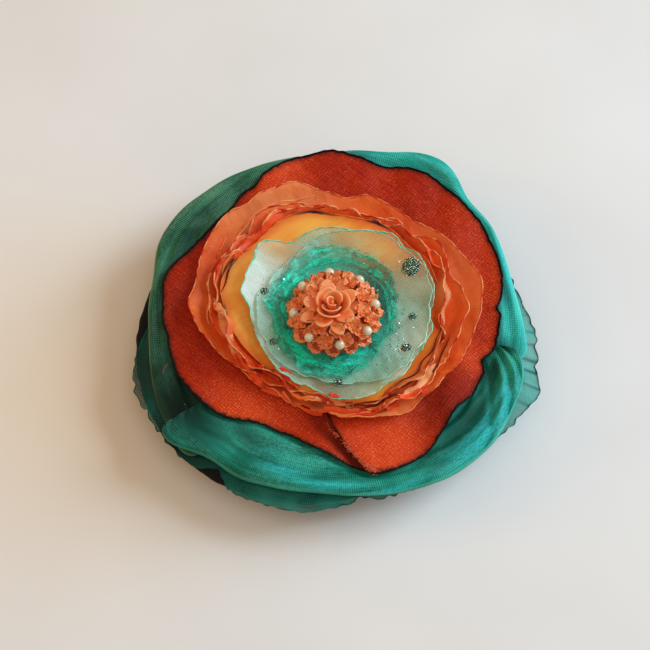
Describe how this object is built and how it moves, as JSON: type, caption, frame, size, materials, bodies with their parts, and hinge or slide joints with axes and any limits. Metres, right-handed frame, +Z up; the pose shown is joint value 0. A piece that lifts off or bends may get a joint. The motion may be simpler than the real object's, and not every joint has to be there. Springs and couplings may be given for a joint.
{
  "type": "flower hair clip",
  "caption": "Round layered fabric flower with a moulded resin and pearl centre, backed with felt and glued to a sprung alligator hair clip.",
  "frame": {"origin": "bottom centre of the whole object's box, on the surface that the clip's lower arm rests on", "axes": "+Z up through the flower towards the cabochon's rose, -Y the flower's front rim, +X along the clip from its thumb levers to its jaw"},
  "size_m": [0.099, 0.0948, 0.0294],
  "materials": {
    "black_felt": "matte pressed felt",
    "teal_organza": "sheer ribbed organza with a cyan shimmer",
    "rust_silk": "slubby dupioni weave with a singed dark edge",
    "orange_organza": "thin translucent organza with melted rims",
    "gold_satin": "smooth satin",
    "mint_organza": "sheer pearly organza with a mint rim",
    "teal_net": "fine net with frayed threads",
    "coral_resin": "cast coral resin",
    "pearl": "ivory pearl coating",
    "glitter_glue": "dried glue full of fine glitter",
    "clear_glue": "set hot glue",
    "thread": "sewing thread",
    "nickel_steel": "nickel-plated sheet steel",
    "spring_steel": "drawn spring wire"
  },
  "bodies": {
    "flower": {"felt_backing": "black_felt", "organza_frill": "teal_organza", "teal_petal_left": "teal_organza", "teal_petal_right": "teal_organza", "teal_petal_front": "teal_organza", "gathering_thread": "thread", "rust_petal_layer": "rust_silk", "orange_organza_lower": "orange_organza", "orange_organza_middle": "orange_organza", "orange_organza_upper": "orange_organza", "gold_satin_layer": "gold_satin", "mint_organza_lower": "mint_organza", "mint_organza_upper": "mint_organza", "teal_net_lower": "teal_net", "teal_net_upper": "teal_net", "cabochon": "coral_resin", "cabochon_glue": "clear_glue", "pearl_1": "pearl", "pearl_2": "pearl", "pearl_3": "pearl", "pearl_4": "pearl", "pearl_5": "pearl", "pearl_6": "pearl", "pearl_7": "pearl", "pearl_8": "pearl", "glitter_dot_1": "glitter_glue", "glitter_dot_2": "glitter_glue", "glitter_dot_3": "glitter_glue", "glitter_dot_4": "glitter_glue", "glitter_dot_5": "glitter_glue", "glitter_dot_6": "glitter_glue", "stitch_back": "thread", "stitch_front": "thread", "clip_glue_pad": "clear_glue", "clip_upper_arm": "nickel_steel", "clip_hinge_pin": "nickel_steel", "clip_spring": "spring_steel"},
    "lower_arm": {"clip_lower_arm": "nickel_steel"}
  },
  "joints": [
    {"name": "jaw_hinge", "type": "hinge", "parent": "flower", "child": "lower_arm", "pos_m": [-0.009, 0, 0.005], "axis": [0, 1, 0], "range_deg": [0, 16], "stiffness_Nm_per_rad": 0.12, "springref_deg": -40.11, "deforming": ["clip_spring"]}
  ]
}
